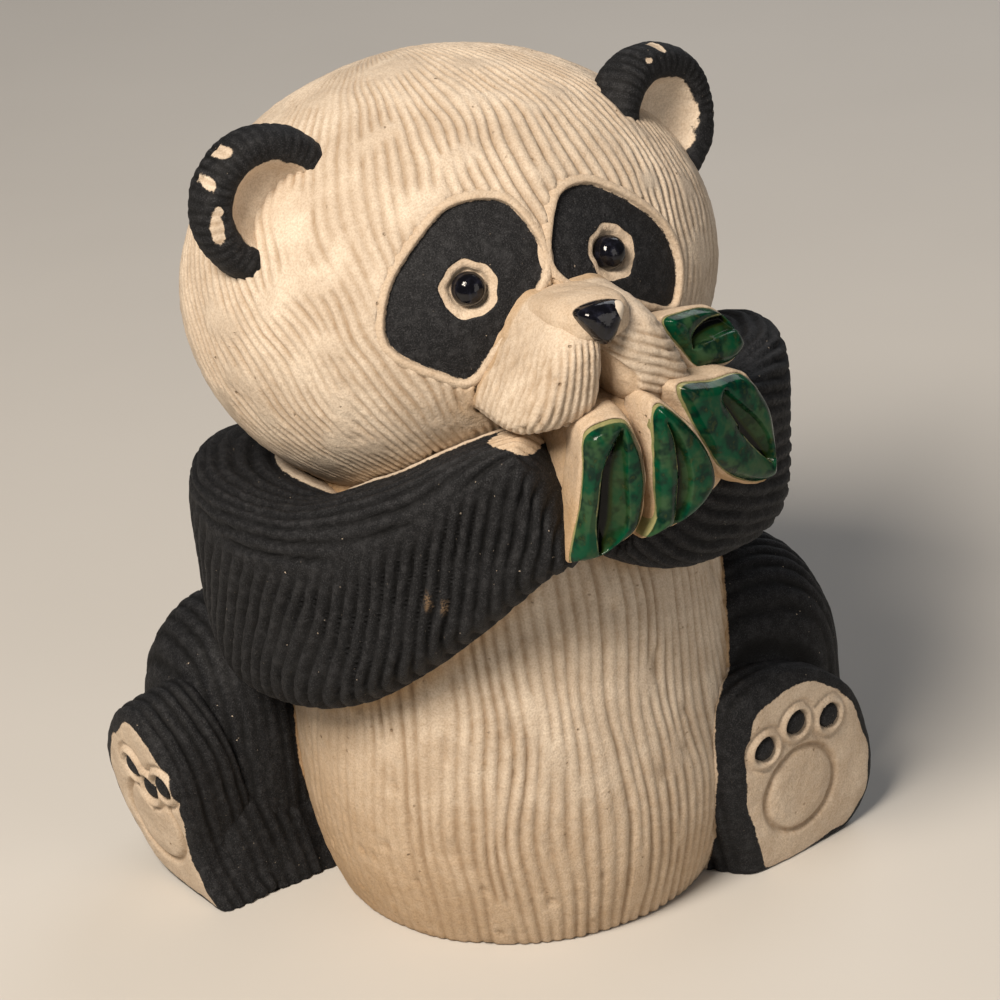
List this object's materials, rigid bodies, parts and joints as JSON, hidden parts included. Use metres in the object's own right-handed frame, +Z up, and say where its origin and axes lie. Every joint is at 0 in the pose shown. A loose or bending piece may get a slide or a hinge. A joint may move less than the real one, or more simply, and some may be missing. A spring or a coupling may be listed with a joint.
{
  "type": "panda figurine",
  "caption": "Seated carved clay panda with a turned head, both paws holding a spray of glazed leaves to its mouth.",
  "frame": {"origin": "middle of the flat underside, on the body's axis", "axes": "+Z up; -Y the way the belly faces; +X the panda's own left, towards which its head turns"},
  "size_m": [0.0889, 0.0669, 0.0967],
  "materials": {
    "fired_clay": "combed matte clay with black slip and glazed leaves"
  },
  "bodies": {
    "root": {"panda_figurine": "fired_clay"}
  },
  "joints": []
}
